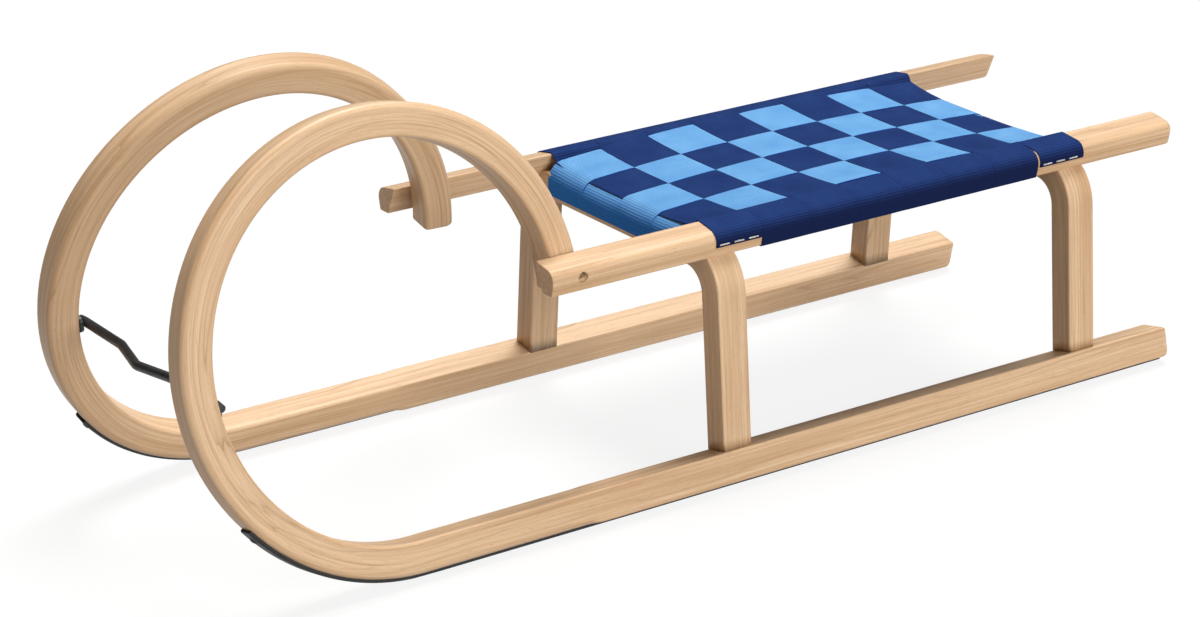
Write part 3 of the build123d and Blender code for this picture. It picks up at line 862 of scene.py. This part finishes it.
def screw_head(bm, centre, axis, radius, dome):
    """Domed screw head with a cross recess."""
    turn = axis.to_track_quat("Z", "Y")
    steps = 40
    rings = []
    for share in (0.12, 0.24, 0.36, 0.48, 0.6, 0.72, 0.86, 0.96, 1.0):
        ring = []
        for x, y in circle(radius * share, steps):
            height = dome * (1 - share**2)
            if share < 0.62 and min(abs(x), abs(y)) < 0.13 * radius:
                height -= 0.28 * radius
            ring.append(centre + turn @ Vector((x, y, height)))
        rings.append(ring)
    rings.append([centre + turn @ Vector((x, y, -SCREW_HEAD_SKIRT)) for x, y in circle(radius, steps)])
    loft(bm, rings)


def make_rail_screw(side, name):
    """Screw head on the floor of the rail's pocket."""
    bm = bmesh.new()
    axis = mirrored(outer_normal, side)
    place = mirrored(screw_point, side) - axis * (SCREW_POCKET_DEPTH - RAIL_SCREW_RISE)
    screw_head(bm, place, axis, RAIL_SCREW_RADIUS, RAIL_SCREW_DOME)
    finish_mesh(f"rail_screw_{name}", bm, brass)


def make_shoe_screw(side, name):
    """Screw head near the front end of the shoe."""
    bm = bmesh.new()
    angle = 0.5 * pi - SHOE_END_ANGLE - SHOE_SCREW_SETBACK
    radius = HORN_RADIUS + RUNNER_THICK + SHOE_THICK
    height = horn_centre_h - radius * cos(angle)
    place = runner_point(horn_x + radius * sin(angle), RUNNER_WIDTH / 2, height)
    axis = forward * sin(angle) - upward * cos(angle)
    screw_head(bm, mirrored(place, side), mirrored(axis, side), SHOE_SCREW_RADIUS, SHOE_SCREW_DOME)
    finish_mesh(f"shoe_screw_{name}", bm, dark_steel)


def make_staples(side, name):
    """Staples in the hems of the first and last cross straps."""
    bm = bmesh.new()
    normal = Vector((outer_side.y, -outer_side.x)).normalized()
    centre = hem - down * STAPLE_ABOVE_HEM + normal * (WEB_THICK + STAPLE_LIFT)
    section = rectangle(-STAPLE_WIDTH / 2, -STAPLE_THICK / 2, STAPLE_WIDTH / 2, STAPLE_THICK / 2)
    for number in (1, CROSS_STRAPS):
        x = bow_centre_x - (number - (CROSS_STRAPS + 1) / 2) * cross_pitch
        for staple in range(STAPLES):
            start_x = x + (staple - (STAPLES - 1) / 2) * STAPLE_PITCH - STAPLE_LENGTH / 2
            rings = []
            for distance, inset in with_ends(STAPLE_LENGTH, [], STAPLE_ROUND, STAPLE_ROUND):
                ring = []
                for point in rounded_section(inset_corners(section, min(inset, 0.3)), [0.08] * 4, 3):
                    y, z = centre + down * point.x + normal * point.y
                    ring.append(Vector((start_x + distance, side * y, z)))
                rings.append(ring)
            loft(bm, rings)
    finish_mesh(f"hem_staples_{name}", bm, zinc)


make_runner(1, 0.0)
make_runner(-1, 1370.0)
make_shoe(1)
make_shoe(-1)
make_bow("front", bow_xs["front"], 400.0)
make_bow("rear", bow_xs["rear"], 2250.0)
make_rail(1)
make_rail(-1)
for number in range(1, CROSS_STRAPS + 1):
    make_cross_strap(number)
for number in range(1, LONG_STRAPS + 1):
    make_long_strap(number)
make_rod()
for side, name in ((1, "left"), (-1, "right")):
    make_rail_screw(side, name)
    make_shoe_screw(side, name)
    make_staples(side, name)

# floor: white to the camera, with the soft shadow of the sled on it
floor_mesh = bpy.data.meshes.new("floor")
reach = 30.0
floor_corners = [(-reach, -reach, 0), (reach, -reach, 0), (reach, reach, 0), (-reach, reach, 0)]
floor_mesh.from_pydata(floor_corners, [], [(0, 1, 2, 3)])
floor = bpy.data.objects.new("floor", floor_mesh)
scene.collection.objects.link(floor)
floor_look = Material("floor")
floor_look.set(Roughness=0.9)
floor_place = floor_look.add("ShaderNodeTexCoord").outputs["Object"]
floor_tone = floor_look.noise(floor_place, (1.5, 1.5, 1.5), 2.0)
path_kind = floor_look.add("ShaderNodeLightPath")
seen = floor_look.math("MAXIMUM", path_kind.outputs["Is Camera Ray"], path_kind.outputs["Is Glossy Ray"])
seen = floor_look.math("MAXIMUM", seen, path_kind.outputs["Is Transmission Ray"])
dim = floor_look.ramp(floor_tone, [(0.3, (0.21, 0.20, 0.19)), (0.7, (0.23, 0.22, 0.21))])
floor_look.set(Base_Color=floor_look.mix(seen, dim, (0.9, 0.9, 0.9)))
glow = floor_look.add("ShaderNodeEmission", {"Color": (1, 1, 1, 1), "Strength": 1.0}).outputs[0]
blend = floor_look.add("ShaderNodeMixShader", {0: floor_look.math("MULTIPLY", seen, 0.86)})
floor_look.tree.links.new(floor_look.shader.outputs[0], blend.inputs[1])
floor_look.tree.links.new(glow, blend.inputs[2])
floor_look.tree.links.new(blend.outputs[0], floor_look.tree.nodes["Material Output"].inputs["Surface"])
floor_mesh.materials.append(floor_look.material)

# world: weak even light, white to the camera
world = bpy.data.worlds.new("studio")
scene.world = world
world.use_nodes = True
sky = world.node_tree
path_kind = sky.nodes.new("ShaderNodeLightPath")
ambient = sky.nodes["Background"]
ambient.inputs["Color"].default_value = (1.0, 0.96, 0.90, 1)
ambient.inputs["Strength"].default_value = 0.12
white = sky.nodes.new("ShaderNodeBackground")
white.inputs["Color"].default_value = (1, 1, 1, 1)
white.inputs["Strength"].default_value = 1.0
choose = sky.nodes.new("ShaderNodeMixShader")
sky.links.new(path_kind.outputs["Is Camera Ray"], choose.inputs[0])
sky.links.new(ambient.outputs[0], choose.inputs[1])
sky.links.new(white.outputs[0], choose.inputs[2])
sky.links.new(choose.outputs[0], sky.nodes["World Output"].inputs["Surface"])


def lamp(name, direction, strength, angle, colour):
    """Soft sun that shines from a direction."""
    light = bpy.data.lights.new(name, "SUN")
    light.energy = strength
    light.angle = radians(angle)
    light.color = colour
    made = bpy.data.objects.new(name, light)
    made.rotation_euler = Vector(direction).to_track_quat("Z", "Y").to_euler()
    scene.collection.objects.link(made)


lamp("top", (-0.30, -0.24, 0.92), 3.40, 30, (1.0, 0.99, 0.97))
lamp("side", (-0.12, 0.95, 0.28), 2.5, 40, (1.0, 0.98, 0.95))
lamp("front", (0.9, 0.25, 0.3), 0.3, 40, (1.0, 0.78, 0.56))

# camera fitted to the photograph
camera_data = bpy.data.cameras.new("camera")
camera_data.sensor_width = 36.0
camera_data.lens = 104.3808
camera_data.shift_x = 0.010581
camera_data.shift_y = 0.010194
camera_data.clip_end = 100.0
camera = bpy.data.objects.new("camera", camera_data)
camera.location = (1.6323, 2.28981, 1.1914)
camera.rotation_euler = (1.199904, 0.005284, 2.534501)
scene.collection.objects.link(camera)
scene.camera = camera
scene.view_settings.view_transform = "Standard"
